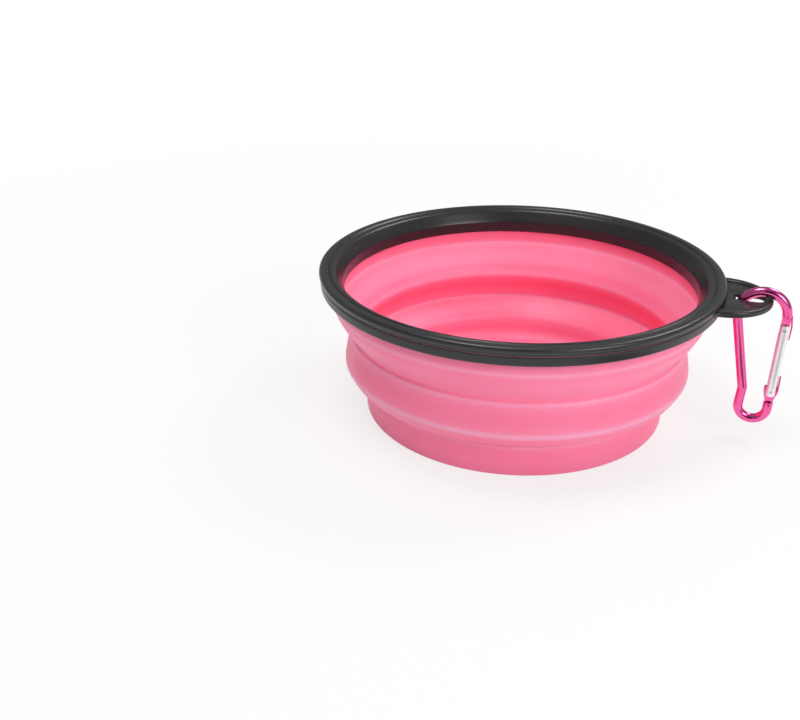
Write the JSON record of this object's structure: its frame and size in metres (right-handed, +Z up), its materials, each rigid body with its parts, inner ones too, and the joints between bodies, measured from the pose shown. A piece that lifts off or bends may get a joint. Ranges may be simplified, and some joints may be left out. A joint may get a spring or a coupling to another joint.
{
  "type": "collapsible bowl",
  "caption": "Round folding travel bowl: pleated soft cup in a stiff rim with a hang tab, and a gated snap hook on the tab to clip it to a bag or belt.",
  "frame": {"origin": "middle of the flat base underside, where the open bowl stands", "axes": "+Z up out of the bowl's mouth, +X out along the hang tab"},
  "size_m": [0.1498, 0.13, 0.0512],
  "materials": {
    "rim_plastic": "satin moulded black plastic",
    "soft_wall": "satin moulded pink silicone",
    "hook_metal": "glossy pink anodised",
    "gate_metal": "bright bare metal",
    "pin_steel": "plain steel"
  },
  "bodies": {
    "rim": {"rim_ring": "rim_plastic", "retaining_ring": "rim_plastic", "wall_collar": "soft_wall", "upper_fold": "soft_wall"},
    "ring": {"middle_ring": "soft_wall", "lower_fold": "soft_wall"},
    "base": {"base_cup": "soft_wall"},
    "hook": {"hook_body": "hook_metal"},
    "gate": {"gate_bar": "gate_metal", "hinge_rivet": "pin_steel", "latch_pin": "pin_steel", "gate_spring": "pin_steel", "spring_plunger": "pin_steel"}
  },
  "joints": [
    {"name": "upper_fold_slide", "type": "slide", "parent": "rim", "child": "ring", "axis": [0, 0, 1], "range_m": [0, 0.016], "deforming": ["upper_fold"]},
    {"name": "lower_fold_slide", "type": "slide", "parent": "ring", "child": "base", "axis": [0, 0, 1], "range_m": [0, 0.016], "deforming": ["lower_fold"]},
    {"name": "hook_swing", "type": "hinge", "parent": "rim", "child": "hook", "pos_m": [0.0776, 0, 0.04655], "axis": [0, -1, 0], "range_deg": [-4, 90]},
    {"name": "gate_hinge", "type": "hinge", "parent": "hook", "child": "gate", "pos_m": [0.08312, 0, 0.0383], "axis": [0, 1, 0], "range_deg": [0, 12], "stiffness_Nm_per_rad": 0.01, "springref_deg": -5.73}
  ]
}
